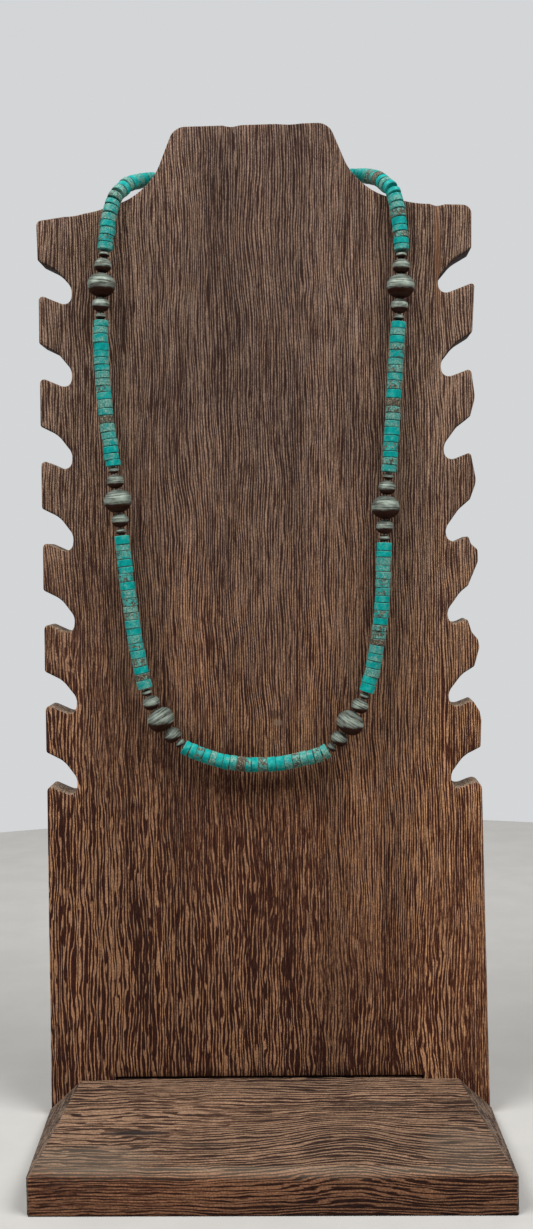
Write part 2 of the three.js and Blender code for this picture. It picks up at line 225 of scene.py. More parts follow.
BROAD_ROUND, BROAD_STEPS, TIGHT_STEPS = 10, 12, 6
ARRIS, ARRIS_STEPS = 0.6, 2
# Where a splinter has left the arris: across, up, reach and depth.
NICKS = [
    (-5.6, 288.4, 2.4, 0.55),
    (52.8, 264.3, 2.0, 0.6),
    (-51.5, 263.2, 3.0, 0.3),
    (11.0, 288.4, 3.5, 0.3),
]
NICK_FLARE = 0.7
# The brushed relief: how finely the mesh is cut for it, and its reach and depth.
GRAIN_CUTS = {"across": 0.95, "along": 5.0}
CUT_SLACK, FLAT_SLACK = 1e-7, 1e-6
RIDGE_WIDE, RIDGE_LONG, GRAIN_DEPTH = 1.7, 26, 0.11
SWELL_REACH, SWELL_START, SAW_WANDER = 16, Vector((3.1, 7.7, 1.3)), 0.16


def board_corners(hooks, skew, shoulder_round):
    """Half the outline, as on the right, from the notch to the neck: across, up, rounding."""
    corners = [(NOTCH_HALF, NOTCH_UP, 0), (NOTCH_HALF, 0, 0), (HALF_AT_FLOOR, 0, 0)]
    for k in reversed(range(len(SLOT_DEPTHS))):
        hook, depth = hooks[k], SLOT_DEPTHS[k]
        slot_seat = (depth - SEAT_SHORT, hook.get("seat", RIGHT_SEAT), SEAT_ROUND)
        slot = [slot_seat, (depth, *SLOT_END), SLOT_ROOF]
        seat = HOOK_TOP - HOOK_PITCH * k
        edge = HALF_AT_FLOOR + (HALF_AT_SHOULDER - HALF_AT_FLOOR) * seat / SHOULDER_UP
        for inset, rise, rounding in hook["tip"] + slot + [hook["brow"]]:
            corners.append((edge - inset, seat + rise, rounding))
    corners.append((HALF_AT_SHOULDER, SHOULDER_UP + skew, shoulder_round))
    return corners + NECK_CORNERS


def round_corner(bm, corner, radius, segments):
    """Rounds one corner of a flat outline to that radius."""
    arms = [(edge.other_vert(corner).co - corner.co).normalized() for edge in corner.link_edges]
    half_angle = arms[0].angle(arms[1]) / 2
    bmesh.ops.bevel(
        bm,
        geom=[corner],
        offset=radius / math.tan(half_angle),
        offset_type="OFFSET",
        affect="VERTICES",
        segments=segments,
        profile=0.5,
        material=-1,
        clamp_overlap=False,
    )


def round_edges(bm, edges, offset, segments, clamp_overlap=False):
    """Rounds or, with one segment, chamfers those edges, and returns the new faces."""
    return bmesh.ops.bevel(
        bm,
        geom=edges,
        offset=offset,
        offset_type="OFFSET",
        affect="EDGES",
        segments=segments,
        profile=0.5,
        material=-1,
        clamp_overlap=clamp_overlap,
    )["faces"]


def cut_in_strips(bm, axis, low, high, step):
    """Cuts the mesh across an axis into strips of about that width."""
    count = math.ceil((high - low) / step)
    normal = Vector((0, 0, 0))
    normal[axis] = 1
    for k in range(1, count):
        bmesh.ops.bisect_plane(
            bm,
            geom=bm.verts[:] + bm.edges[:] + bm.faces[:],
            dist=CUT_SLACK,
            plane_co=normal * (low + (high - low) * k / count),
            plane_no=normal,
        )


def brush_grain(bm, along, broad_faces, nicks=()):
    """Sinks the soft grain and wears the sawn edges. along is the axis that the grain follows."""
    ridge = [RIDGE_WIDE * MM, RIDGE_WIDE * MM, RIDGE_WIDE * MM]
    ridge[along] = RIDGE_LONG * MM
    bm.normal_update()
    moves = {}
    for vertex in bm.verts:
        place, normal = vertex.co, vertex.normal
        raised = noise.noise(Vector([place[i] / ridge[i] for i in range(3)]))
        swell = noise.noise(place / (SWELL_REACH * MM) + SWELL_START)
        facing = max(abs(normal[i]) for i in broad_faces)
        grain = GRAIN_DEPTH * (0.5 + 0.5 * raised)
        wander = SAW_WANDER * (0.5 + 0.5 * swell)
        sink = facing * grain + (1 - facing) * wander
        for across, up, reach, depth in nicks:
            near = 1 - math.hypot(place.x / MM - across, place.z / MM - up) / reach
            sink += depth * max(0.0, near) ** NICK_FLARE
        moves[vertex] = -normal * sink * MM
    for vertex, move in moves.items():
        vertex.co += move


def finish_piece(name, bm, finish, slot, *nodes, sharp=40):
    """Makes the mesh a piece of the part that stands for those nodes."""
    mesh = bpy.data.meshes.new(name)
    bm.to_mesh(mesh)
    bm.free()
    mesh.shade_smooth()
    mesh.set_sharp_from_angle(angle=math.radians(sharp))
    mesh.materials.append(finish)
    piece = link_object(name, mesh)
    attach(piece, "root")
    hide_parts(*nodes)


def vector_of(tree, operation, first, second=(0, 0, 0), result="Vector"):
    return add_node(
        tree, "VectorMath", {"operation": operation}, i0=first, i1=second
    ).outputs[result]


def product_of(tree, *factors):
    product = factors[0]
    for factor in factors[1:]:
        product = math_of(tree, "MULTIPLY", product, factor)
    return product


def centred(tree, value, reach, middle=0.5):
    """A noise's value moved to lie evenly about nought and stretched to that reach."""
    return math_of(tree, "MULTIPLY", math_of(tree, "SUBTRACT", value, middle), reach)


# The finish of the wood. A layer gives the size of its noise in metres, the stretch of it that
# it is eased over, and the shades it then lies between. A stain's edge is in reaches from its
# centre, and the rest are the stops, shares and tones of what the function below lays on.
DRIFT_SIZE, KINK_SIZE = (0.022, 0.03, 0.045), (0.004, 0.008, 0.008)
CLOUD_SIZE, RING_SIZE = (0.03, 0.03, 0.09), (0.006, 0.02, 0.05)
FIBRE_EASE = (0.26, 0.74)
CHAR_STOP, BROWN_STOP, TAN_STOP = 0.12, 0.45, 0.86
BANDS = {"size": (0.009, 0.02, 0.3), "ease": (0.32, 0.68), "shades": (0.87, 1.11)}
STREAKS = {"size": (0.0011, 0.004, 0.04), "ease": (0.56, 0.7), "shades": (0.98, 1.24)}
TORCHED = {"ease": (0.35, 0.65), "shades": (0.92, 1.08)}
GRIT = {"size": (0.0005, 0.0005, 0.0006), "ease": (0.3, 0.7), "shades": (0.7, 1.3)}
STAIN_GONE, STAIN_FULL = 1.7, 1.1
END_DOTS, END_FACING, END_SHARE = (0.43, 0.57), (0.3, 0.75), 0.85
SCUFF = {"size": (0.003, 0.003, 0.003), "ease": (0.25, 0.48)}
# Painted shade on faces that look downwards: where it starts and is full, its share and its tone.
UNDERSIDE_SHADE_EASE, UNDERSIDE_SHADE_SHARE, UNDERSIDE_SHADE_TONE = (-0.12, -0.5), 0.9, (0.012, 0.004, 0.003)
WOOD_RELIEF = {"Strength": 0.5, "Distance": 0.0003}
WOOD_GLOSS = {"ease": (0.2, 0.8), "shades": (0.95, 0.75)}
WOOD_SPECULAR = 0.2


def stain(tree, place, ragged, centre, reach):
    """A share that is full at a centre, in millimetres, and gone a ragged reach away from it."""
    away = vector_of(tree, "SUBTRACT", place, [c * MM for c in centre])
    in_reaches = vector_of(tree, "DIVIDE", away, [r * MM for r in reach])
    far = vector_of(tree, "LENGTH", in_reaches, result="Value")
    return smooth_range(tree, math_of(tree, "ADD", far, ragged), STAIN_GONE, STAIN_FULL)


def arched(tree, place, arch):
    """The place with an arch's rise taken off, so that the grain laid on it bows over a hump."""
    across, forth, up = add_node(tree, "SeparateXYZ", Vector=place).outputs[:3]
    off = math_of(tree, "DIVIDE", math_of(tree, "SUBTRACT", across, arch["centre"]), arch["half"])
    hump = math_of(tree, "EXPONENT", product_of(tree, off, off, -1))
    behind = smooth_range(tree, forth, arch["from"], arch["to"], 1.0, 0.0)
    above = smooth_range(tree, up, 0, arch["top"])
    lift = product_of(tree, hump, behind, above)
    raised = add_node(
        tree, "VectorMath", {"operation": "SCALE"}, i0=(0, arch["rise"], 0), Scale=lift
    ).outputs[0]
    return vector_of(tree, "SUBTRACT", place, raised)


def wandering(tree, laid, drift_reach, kink_reach):
    """The grain wanders slowly along the plank and kinks here and there."""
    drift = stretched_noise(tree, laid, DRIFT_SIZE, detail=1.5).outputs["Color"]
    kink = stretched_noise(tree, laid, KINK_SIZE).outputs["Color"]
    warped = laid
    for bend, reach in ((drift, drift_reach), (kink, kink_reach)):
        swing = vector_of(tree, "SUBTRACT", bend, (0.5, 0.5, 0.5))
        moved = vector_of(tree, "MULTIPLY", swing, (reach, reach, reach))
        warped = vector_of(tree, "ADD", warped, moved)
    return warped


def ridges(tree, warped, slanted, ring, rows):
    """Rows of raised fibres between sunk pores. They wander, fork, crowd and break off."""

    def unrest(size, reach):
        return centred(tree, stretched_noise(tree, warped, size, detail=1.5).outputs[0], reach)

    turns = math_of(tree, "MULTIPLY", slanted, math.tau / rows["pitch"])
    sway = unrest(rows["sway_size"], rows["sway"])
    waves = math_of(tree, "SINE", math_of(tree, "ADD", turns, sway))
    breaks = unrest(rows["break_size"], rows["breaks"])
    crowded = centred(tree, ring, rows["crowding"])
    height = math_of(tree, "ADD", waves, math_of(tree, "ADD", breaks, crowded))
    sunk, raised = rows["scarce"] - rows["softness"], rows["scarce"] + rows["softness"]
    return smooth_range(tree, height, sunk, raised)


def scorched_wood(name, grain_turn, tones, grain, coarse, warm, washes, stains, arch=None):
    """Brushed and scorched wood. grain_turn lays the grain along Z before the pattern is read."""
    finish, tree, shader = new_finish(name)
    place = object_place(tree)
    straight = arched(tree, place, arch) if arch else place
    laid = add_node(
        tree, "Mapping", Vector=straight, Rotation=[math.radians(a) for a in grain_turn]
    ).outputs[0]
    warped = wandering(tree, laid, grain["drift"], grain["kink"])
    cloud = stretched_noise(tree, laid, CLOUD_SIZE).outputs[0]
    ring = stretched_noise(tree, warped, RING_SIZE).outputs[0]

    def toward(wash):
        """A share that grows in one direction, with a ragged edge."""
        reach = vector_of(tree, "DOT_PRODUCT", place, wash["direction"], result="Value")
        edge = math_of(tree, "ADD", reach, math_of(tree, "MULTIPLY", cloud, wash["ragged"]))
        return smooth_range(tree, edge, wash["from"], wash["to"])

    def toned(char, brown, tan):
        ramp = add_node(tree, "ValToRGB", Fac=lines)
        stops = ramp.color_ramp.elements
        stops[0].position, stops[0].color = CHAR_STOP, rgba(char)
        stops[1].position, stops[1].color = TAN_STOP, rgba(tan)
        middle = stops.new(BROWN_STOP)
        middle.color = rgba(brown)
        return ramp.outputs[0]

    # Fine rows run everywhere, with open spindles where the plank was cut across the rings.
    across, through = add_node(tree, "SeparateXYZ", Vector=warped).outputs[:2]
    slanted = math_of(tree, "ADD", across, math_of(tree, "MULTIPLY", through, grain["slant"]))
    fine = ridges(tree, warped, slanted, ring, grain["fine"])
    spindles = ridges(tree, warped, slanted, ring, grain["coarse"])
    ridge = add_node(tree, "Mix", i0=toward(coarse), i2=fine, i3=spindles).outputs[0]
    fibre = stretched_noise(tree, warped, grain["fibre"], detail=1.5, rough=0.6).outputs[0]
    grit = stretched_noise(tree, place, GRIT["size"], detail=1.5, rough=0.6).outputs[0]
    ridge_share = grain["ridge_share"]
    lines = math_of(
        tree,
        "ADD",
        math_of(tree, "MULTIPLY", ridge, ridge_share),
        smooth_range(tree, fibre, *FIBRE_EASE, 0.0, 1 - ridge_share),
    )
    tone = blend_colours(tree, toward(warm), toned(*tones["cool"]), toned(*tones["warm"]))

    # Broad bands of early and late wood, pale streaks, patches where the torch stayed longer,
    # and grit.
    band = stretched_noise(tree, warped, BANDS["size"]).outputs[0]
    streak = stretched_noise(tree, warped, STREAKS["size"], detail=1.0).outputs[0]
    layers = ((band, BANDS), (streak, STREAKS), (cloud, TORCHED), (grit, GRIT))
    shade = product_of(tree, *(shade_of(tree, value, layer) for value, layer in layers))
    tone = blend_colours(tree, 1.0, tone, shade, "MULTIPLY")
    for wash in washes:
        tone = blend_colours(tree, toward(wash), tone, rgba(wash["tint"]), "MULTIPLY")
    for centre, spread, share, colour in stains:
        mark = math_of(tree, "MULTIPLY", stain(tree, place, fibre, centre, spread), share)
        tone = blend_colours(tree, mark, tone, rgba(colour))

    # Sawn ends show pale and dotted, and the arrises are rubbed bare. Over them, faces that look
    # downwards, such as the undersides of the cuts, get a near-black painted shade.
    outwards = add_node(tree, "NewGeometry").outputs["Normal"]
    normal = add_node(tree, "SeparateXYZ", Vector=outwards).outputs
    facing = normal["Z"] if tones["ends"] == "up" else math_of(tree, "ABSOLUTE", normal["X"])
    dots = stretched_noise(tree, place, grain["end"], detail=1.5).outputs[0]
    end_dark, end_pale = rgba(tones["end_dark"]), rgba(tones["end_pale"])
    end_grain = blend_colours(tree, smooth_range(tree, dots, *END_DOTS), end_dark, end_pale)
    end_share = smooth_range(tree, facing, *END_FACING, 0.0, END_SHARE)
    tone = blend_colours(tree, end_share, tone, end_grain)
    rubbed = add_node(tree, "Attribute", {"attribute_name": "arris"}).outputs["Fac"]
    uneven = stretched_noise(tree, place, SCUFF["size"]).outputs[0]
    bare = math_of(tree, "MULTIPLY", rubbed, smooth_range(tree, uneven, *SCUFF["ease"]))
    tone = blend_colours(tree, bare, tone, rgba(tones["worn"]))
    # Painted shade: faces that look downwards turn near black.
    shaded_below = math_of(tree, "MULTIPLY", smooth_range(tree, normal["Z"], *UNDERSIDE_SHADE_EASE), UNDERSIDE_SHADE_SHARE)
    shade_below_colour = blend_colours(tree, grit, rgba(tones["warm"][0]), rgba(UNDERSIDE_SHADE_TONE))
    tone = blend_colours(tree, shaded_below, tone, shade_below_colour)
    tree.links.new(tone, shader.inputs["Base Color"])

    relief = add_node(tree, "Bump", Height=lines, **WOOD_RELIEF).outputs[0]
    tree.links.new(relief, shader.inputs["Normal"])
    tree.links.new(shade_of(tree, lines, WOOD_GLOSS), shader.inputs["Roughness"])
    shader.inputs["Specular IOR Level"].default_value = WOOD_SPECULAR
    return finish


def mark_arris(bm, faces):
    """Marks the worn faces for the finish to rub pale."""
    worn = bm.faces.layers.float.get("arris") or bm.faces.layers.float.new("arris")
    for face in faces:
        if face.is_valid:
            face[worn] = 1.0


bm = bmesh.new()
right = board_corners(RIGHT_HOOKS, SHOULDER_SKEW, RIGHT_SHOULDER_ROUND)
left_as_right = board_corners(
    [LEFT_HOOK] * len(SLOT_DEPTHS), -SHOULDER_SKEW, LEFT_SHOULDER_ROUND
)
left = [(-across, up, radius) for across, up, radius in reversed(left_as_right)]
outline = [
    (bm.verts.new((across * MM, BOARD_FACE, up * MM)), radius)
    for across, up, radius in right + left
]
bm.faces.new([corner for corner, _ in outline])
for corner, radius in outline:
    if radius:
        steps = BROAD_STEPS if radius > BROAD_ROUND else TIGHT_STEPS
        round_corner(bm, corner, radius * MM, steps)
back = bmesh.ops.extrude_face_region(bm, geom=bm.faces[:])["geom"]
bmesh.ops.translate(
    bm,
    verts=[v for v in back if isinstance(v, bmesh.types.BMVert)],
    vec=(0, BOARD_THICKNESS, 0),
)
bmesh.ops.recalc_face_normals(bm, faces=bm.faces[:])
rims = [e for e in bm.edges if abs(e.verts[0].co.y - e.verts[1].co.y) < FLAT_SLACK]
mark_arris(bm, round_edges(bm, rims, ARRIS * MM, ARRIS_STEPS))
cut_in_strips(bm, 0, -HALF_AT_FLOOR * MM, HALF_AT_FLOOR * MM, GRAIN_CUTS["across"] * MM)
cut_in_strips(bm, 2, 0, BOARD_HIGH.z, GRAIN_CUTS["along"] * MM)
brush_grain(bm, along=2, broad_faces=(1,), nicks=NICKS)

# The cool tones are those of the upper board and the warm ones those of its foot, each from the
# char in the pores over brown to the tan of the ridges. Rows of grain give their pitch and the
# sizes of their unrest in metres, and how much they sway, break, crowd and thin out. A wash gives
# its direction, how ragged it is, and where in metres it begins and is full. A stain gives its
# centre and reach in millimetres, its share and its colour: here an orange streak, and a knot
# with a pale spot below.
board_wood = scorched_wood(
    "scorched_board_wood",
    grain_turn=(0, 0, 0),
    tones={
        "cool": [(0.023, 0.0082, 0.0056), (0.057, 0.0295, 0.0198), (0.205, 0.13, 0.091)],
        "warm": [(0.021, 0.0037, 0.0018), (0.056, 0.0175, 0.0078), (0.31, 0.16, 0.083)],
        "ends": "up",
        "end_dark": (0.09, 0.055, 0.035),
        "end_pale": (0.27, 0.2, 0.14),
        "worn": (0.33, 0.27, 0.2),
    },
    grain={
        "slant": 0.4,
        "fine": {
            "pitch": 0.00072,
            "sway": 14,
            "sway_size": (0.0014, 0.003, 0.018),
            "breaks": 3.4,
            "break_size": (0.0006, 0.002, 0.008),
            "crowding": 1.8,
            "softness": 0.85,
            "scarce": 0,
        },
        "coarse": {
            "pitch": 0.00098,
            "sway": 16,
            "sway_size": (0.0015, 0.003, 0.011),
            "breaks": 3.6,
            "break_size": (0.0006, 0.002, 0.006),
            "crowding": 2.4,
            "softness": 0.3,
            "scarce": 0.32,
        },
        "fibre": (0.0002, 0.001, 0.0022),
        "end": (0.0006, 0.0006, 0.0006),
        "drift": 0.004,
        "kink": 0.0005,
        "ridge_share": 0.64,
    },
    coarse={"direction": (-6.0, 0, -5.5), "ragged": 0.9, "from": -0.3, "to": 0.3},
    warm={"direction": (0, 0, -1), "ragged": 0.1, "from": -0.17, "to": -0.03},
    washes=[
        {
            "direction": (1, 0, 0),
            "ragged": 0.02,
            "from": 0.035,
            "to": 0.06,
            "tint": (1.36, 1.38, 1.34),
        },
        {
            "direction": (-1, 0, 0.2),
            "ragged": 0.02,
            "from": 0.07,
            "to": 0.11,
            "tint": (1.4, 1.42, 1.38),
        },
    ],
    stains=[
        ((52.7, 10, 250), (0.9, 20, 18), 0.5, (0.2, 0.088, 0.04)),
        ((3.9, 10, 118.8), (1.7, 20, 1.4), 0.62, (0.022, 0.009, 0.006)),
        ((4.5, 10, 116.4), (1.5, 20, 1.0), 0.6, (0.19, 0.125, 0.085)),
    ],
)
finish_piece("board", bm, board_wood, "board_wood", "stand_board")

# ---------------------------------------------------------------------------------------------
# Base: a short plank of the same wood with its grain from side to side and its ends planed to a
# flared bevel. It is slotted for the feet of the board, and its front edge is rubbed round.
BASE_ARRIS, BASE_ARRIS_STEPS = 0.8, 3
BASE_CUTS = {"along": 6.0, "across": 1.0}
LOOSE, COPLANAR = 0.03, 1
WORN_FOLD, WORN_LENGTH = 20, 5

bm = bmesh.new()
bm.from_mesh(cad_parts["stand_base"].data)
bmesh.ops.remove_doubles(bm, verts=bm.verts[:], dist=LOOSE * MM)
bmesh.ops.dissolve_limit(
    bm, angle_limit=math.radians(COPLANAR), verts=bm.verts[:], edges=bm.edges[:]
)
worn_edges = [
    e
    for e in bm.edges
    if e.calc_face_angle(0) > math.radians(WORN_FOLD) and e.calc_length() > WORN_LENGTH * MM
]
mark_arris(bm, round_edges(bm, worn_edges, BASE_ARRIS * MM, BASE_ARRIS_STEPS, clamp_overlap=True))
# Where rounded edges meet in a sharp corner they leave a small spike, which is pressed back.
base_low, base_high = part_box("stand_base")
for corner in bm.verts:
    corner.co = [min(max(corner.co[i], base_low[i]), base_high[i]) for i in range(3)]
cut_in_strips(bm, 0, base_low.x, base_high.x, BASE_CUTS["along"] * MM)
cut_in_strips(bm, 1, base_low.y, base_high.y, BASE_CUTS["across"] * MM)
cut_in_strips(bm, 2, base_low.z, base_high.z, BASE_CUTS["across"] * MM)
brush_grain(bm, along=0, broad_faces=(1, 2))

# The cool tones are those of its top and the warm ones those of its front. Its stains are dark
# streaks and places that are rubbed pale along the front, and an arched figure lies at the right.
base_wood = scorched_wood(
    "scorched_base_wood",
    grain_turn=(0, 90, 0),
    tones={
        "cool": [(0.0135, 0.006, 0.0038), (0.054, 0.0255, 0.0147), (0.21, 0.126, 0.077)],
        "warm": [(0.011, 0.0024, 0.0011), (0.044, 0.013, 0.0057), (0.2, 0.092, 0.046)],
        "ends": "sides",
        "end_dark": (0.024, 0.0115, 0.008),
        "end_pale": (0.17, 0.115, 0.078),
        "worn": (0.27, 0.215, 0.155),
    },
    grain={
        "slant": 0.5,
        "fine": {
            "pitch": 0.0008,
            "sway": 14,
            "sway_size": (0.0015, 0.003, 0.024),
            "breaks": 3.0,
            "break_size": (0.0007, 0.0015, 0.009),
            "crowding": 2.8,
            "softness": 0.6,
            "scarce": 0,
        },
        "coarse": {
            "pitch": 0.001,
            "sway": 16,
            "sway_size": (0.0016, 0.003, 0.014),
            "breaks": 4.0,
            "break_size": (0.0008, 0.0015, 0.007),
            "crowding": 3.0,
            "softness": 0.4,
            "scarce": 0,
        },
        "fibre": (0.00022, 0.0003, 0.003),
        "end": (0.001, 0.007, 0.0005),
        "drift": 0.004,
        "kink": 0.0007,
        "ridge_share": 0.64,
    },
    coarse={"direction": (-5.0, 4.0, 0), "ragged": 0.9, "from": 0.35, "to": 0.75},
    warm={"direction": (0, -1, 0), "ragged": 0.001, "from": 0.0490, "to": 0.0505},
    washes=[],
    stains=[
        ((-35, -26.5, 11), (9, 1.8, 4), 0.85, (0.013, 0.0095, 0.0095)),
        ((-16, -34, 11), (7, 1.3, 4), 0.6, (0.016, 0.01, 0.009)),
        ((32, -8, 11), (9, 1.5, 4), 0.6, (0.016, 0.01, 0.009)),
        ((0, -49, 11), (75, 2.6, 2), 0.26, (0.2, 0.165, 0.12)),
        ((-46, -42, 10), (20, 8, 7), 0.26, (0.17, 0.142, 0.105)),
        ((52, -36, 11), (10, 13, 3), 0.2, (0.17, 0.135, 0.1)),
    ],
    arch={
        "centre": 0.022,
        "half": 0.015,
        "rise": 0.006,
        "from": -0.028,
        "to": -0.004,
        "top": 0.011,
    },
)
finish_piece("base", bm, base_wood, "base_wood", "stand_base")

# ---------------------------------------------------------------------------------------------
# Stringing wire: one fine steel cable through every disc and bead, closed by the clasp behind the
# neck. From there its route runs over the left shoulder, down, and up over the right.
WIRE_RADIUS, BARE_STRETCHES = 0.3, 6
# Across from the board's middle, forward of its face and up from the floor, in millimetres.
WIRE_ROUTE = [
    (0.5, -13.7, 277), (-12.5, -13.7, 277), (-24, -13.8, 277.2), (-29.2, -12.9, 276.9),
    (-32.1, -10, 276.1), (-34.1, -6.8, 274.9), (-35.9, -3.4, 273.3), (-37.5, -0.6, 271.1),
    (-39.1, 1.7, 268.4), (-40.4, 2.9, 264.4), (-41.3, 3.4, 259.4), (-42.1, 3.75, 253.9),
    (-43.45, 4.3, 241.6), (-43.9, 4.3, 223), (-43, 4.3, 207), (-41.3, 4.3, 192.5),
    (-39.95, 4.3, 180), (-38.55, 4.3, 164), (-36.95, 4.3, 148.5), (-34.9, 4.3, 134.5),
    (-32.45, 4.3, 124.8), (-28.5, 4.3, 117.4), (-23.3, 4.3, 111), (-17.6, 4.3, 108.1),
    (-10.2, 4.3, 105.65), (-1.9, 4.3, 104.7), (6.4, 4.3, 105.4), (13.8, 4.3, 106.8),
    (19.9, 4.3, 109.4), (25.6, 4.3, 116.75), (29.9, 4.3, 124.8), (32.7, 4.3, 134.5),
    (34.9, 4.3, 148.5), (35.8, 4.3, 164), (36.7, 4.3, 180), (38.1, 4.3, 192.5),
    (39.2, 4.3, 207), (40.35, 4.3, 223), (41.8, 4.3, 241.6), (42.1, 3.75, 253.4),
    (41.6, 3.4, 259.5), (41, 2.9, 263.8), (39.9, 1.8, 267.9), (38.2, -0.5, 270.3),
    (36.7, -3.2, 272.5), (34.9, -6.6, 274.3), (32.8, -9.9, 275.5), (29.8, -12.9, 276.5),
    (25, -13.8, 277), (13.5, -13.7, 277),
]
STEPS_PER_SPAN, WIRE_STEPS = 20, 300
NEARBY = 0.2
STRANDS_PER_METRE, STRAND_EDGE = 4200.0, (0.4, 0.6)
STEEL_DARK, STEEL_PALE = (0.1, 0.095, 0.09), (0.34, 0.33, 0.31)
STRAND_RELIEF = {"Strength": 0.4, "Distance": 0.0001}
STEEL_METALLIC, STEEL_ROUGHNESS = 1.0, 0.42

face_at = BOARD_FACE / MM
knots = [Vector((across, face_at - forward, up)) * MM for across, forward, up in WIRE_ROUTE]
wire_path = []
for k, knot in enumerate(knots):
    before, after, beyond = (knots[(k + step) % len(knots)] for step in (-1, 1, 2))
    wire_path += geometry.interpolate_bezier(
        knot, knot + (after - before) / 6, after - (beyond - knot) / 6, after, STEPS_PER_SPAN + 1
    )[:-1]
wire_path.append(wire_path[0])
travelled = [0.0]
for start, end in zip(wire_path, wire_path[1:]):
    travelled.append(travelled[-1] + (end - start).length)
WIRE_LENGTH = travelled[-1]


def along_wire(distance):
    """The place on the wire that far, in metres, from its first point behind the neck."""
    distance %= WIRE_LENGTH
    k = min(bisect_right(travelled, distance), len(travelled) - 1)
    share = (distance - travelled[k - 1]) / (travelled[k] - travelled[k - 1])
    return wire_path[k - 1].lerp(wire_path[k], share)


def direction_at(distance):
    ahead, astern = along_wire(distance + NEARBY * MM), along_wire(distance - NEARBY * MM)
    return (ahead - astern).normalized()


cable = bpy.data.curves.new("cable", "CURVE")
cable.dimensions = "3D"
cable.bevel_depth = WIRE_RADIUS * MM
cable.bevel_resolution = 1
line = cable.splines.new("POLY")
line.points.add(WIRE_STEPS - 1)
for k, point in enumerate(line.points):
    point.co = (*along_wire(WIRE_LENGTH * k / WIRE_STEPS), 1)
line.use_cyclic_u = True
drawn = link_object("cable", cable)
bpy.context.view_layer.update()
bm = bmesh.new()
bm.from_mesh(drawn.to_mesh())
bpy.data.objects.remove(drawn)
bmesh.ops.recalc_face_normals(bm, faces=bm.faces[:])

wire_finish, tree, shader = new_finish("twisted_steel")
strands = add_node(
    tree, "TexNoise", Vector=object_place(tree), Scale=STRANDS_PER_METRE, Detail=1.0
).outputs[0]
twist = smooth_range(tree, strands, *STRAND_EDGE)
steel = blend_colours(tree, twist, rgba(STEEL_DARK), rgba(STEEL_PALE))
tree.links.new(steel, shader.inputs["Base Color"])
relief = add_node(tree, "Bump", Height=strands, **STRAND_RELIEF).outputs[0]
tree.links.new(relief, shader.inputs["Normal"])
shader.inputs["Metallic"].default_value = STEEL_METALLIC
shader.inputs["Roughness"].default_value = STEEL_ROUGHNESS
bare_wires = [f"wire_{number}" for number in range(1, BARE_STRETCHES + 1)]
finish_piece("stringing_wire", bm, wire_finish, "steel_wire", *bare_wires)

# ---------------------------------------------------------------------------------------------
# Turquoise: seven runs of heishi, thin discs sawn and ground from mixed stabilised stone, so
# that bright, dull and brown-veined discs follow each other. They are drawn up on the wire, sit
# a little off it, and open on the outside of a bend.
DISC_RADIUS, DISC_SIDES = 2.15, 18
GROUP_LENGTH = 20.0
# The clasp's middle, from the wire's first point, and half its length with its clearance.
CLASP_SLIP, CLASP_HALF = -0.75, 7.3
# The end runs take what is left of the wire.
RUN_LENGTHS = [None, 41.7, 44.7, 43.6, 43.4, 42.6, None]
# The discs of each run in the order they were strung: Bright, Teal, Pale, Veined, Grey, browN.
STRINGING = [
    "TBTPBTVTBTTBTBTTBPBPGTTPBTVT",
    "TTTBTTTPPVBPTNPTTBTB",
    "BTVBBVBTVPGTBTVBGBNT",
    "BBVBPBBTNVBGBBTGTTGT",
    "BBPTTTNGGBVBBVVTTPBB",
    "TGBVBBTPGNBVTGTVGBPB",
    "VBGBBGTTBBPBNVGTBTBPTBTVTTBT",
]
# For each kind of stone, how far it is from bright to pale, and how much brown runs through it.
STONE = {
    "B": (0.05, 0.03),
    "T": (0.42, 0.1),
    "P": (0.78, 0.2),
    "V": (0.35, 0.48),
    "G": (0.72, 0.55),
    "N": (0.8, 0.86),
}
# How unlike each other the discs are, in degrees, millimetres and shares.
DISC_TILT, DISC_OFF = 2.0, 0.19
RIM_LEAST, RIM_MOST = 0.09, 0.17
PALE_SPREAD, BROWN_SPREAD = 0.12, 0.06
THINNEST, THICKEST = 0.82, 1.18
SMALLER, LARGER = -0.05, 0.04
LEAST_JOINT = 0.15
# A face of a rim is smaller than this, in square metres for each millimetre of thickness.
RIM_FACE = 0.3e-6
# Each disc reads the patterns at a place of its own, up to this far off, in metres.
OWN_PLACE = (0.31, 0.77, 0.53)
MOTTLE_SIZE, SPECK_SIZE, VEIN_SIZE = (0.0016,) * 3, (0.00045,) * 3, (0.0011,) * 3
BRIGHT_EASE, BRIGHT_DEEP, BRIGHT_PALE = (0.35, 0.65), (0.0, 0.215, 0.204), (0.001, 0.325, 0.292)
DULL_EASE, DULL_DEEP, DULL_PALE = (0.38, 0.62), (0.035, 0.18, 0.157), (0.19, 0.33, 0.27)
VEIN_EASE, VEIN_DEEP, VEIN_PALE = (0.5, 0.66), (0.06, 0.028, 0.016), (0.26, 0.2, 0.14)
MOTTLE_MIDDLE, MOTTLE_REACH, PALE_EASE = 0.48, 2.4, (0.08, 0.92)
BROWN_REACH, VEINED_EASE, VEINED_SHARE = 0.42, (0.7, 0.8), 0.88
RIM_TONE, RIM_SHARE = (0.12, 0.3, 0.26), 0.3
VEIN_SUNK = -0.6
STONE_RELIEF = {"Strength": 0.35, "Distance": 0.00012}
STONE_GLOSS = {"ease": (0.3, 0.7), "shades": (0.42, 0.62)}
STONE_SPECULAR = 0.1

rng = random.Random(27)


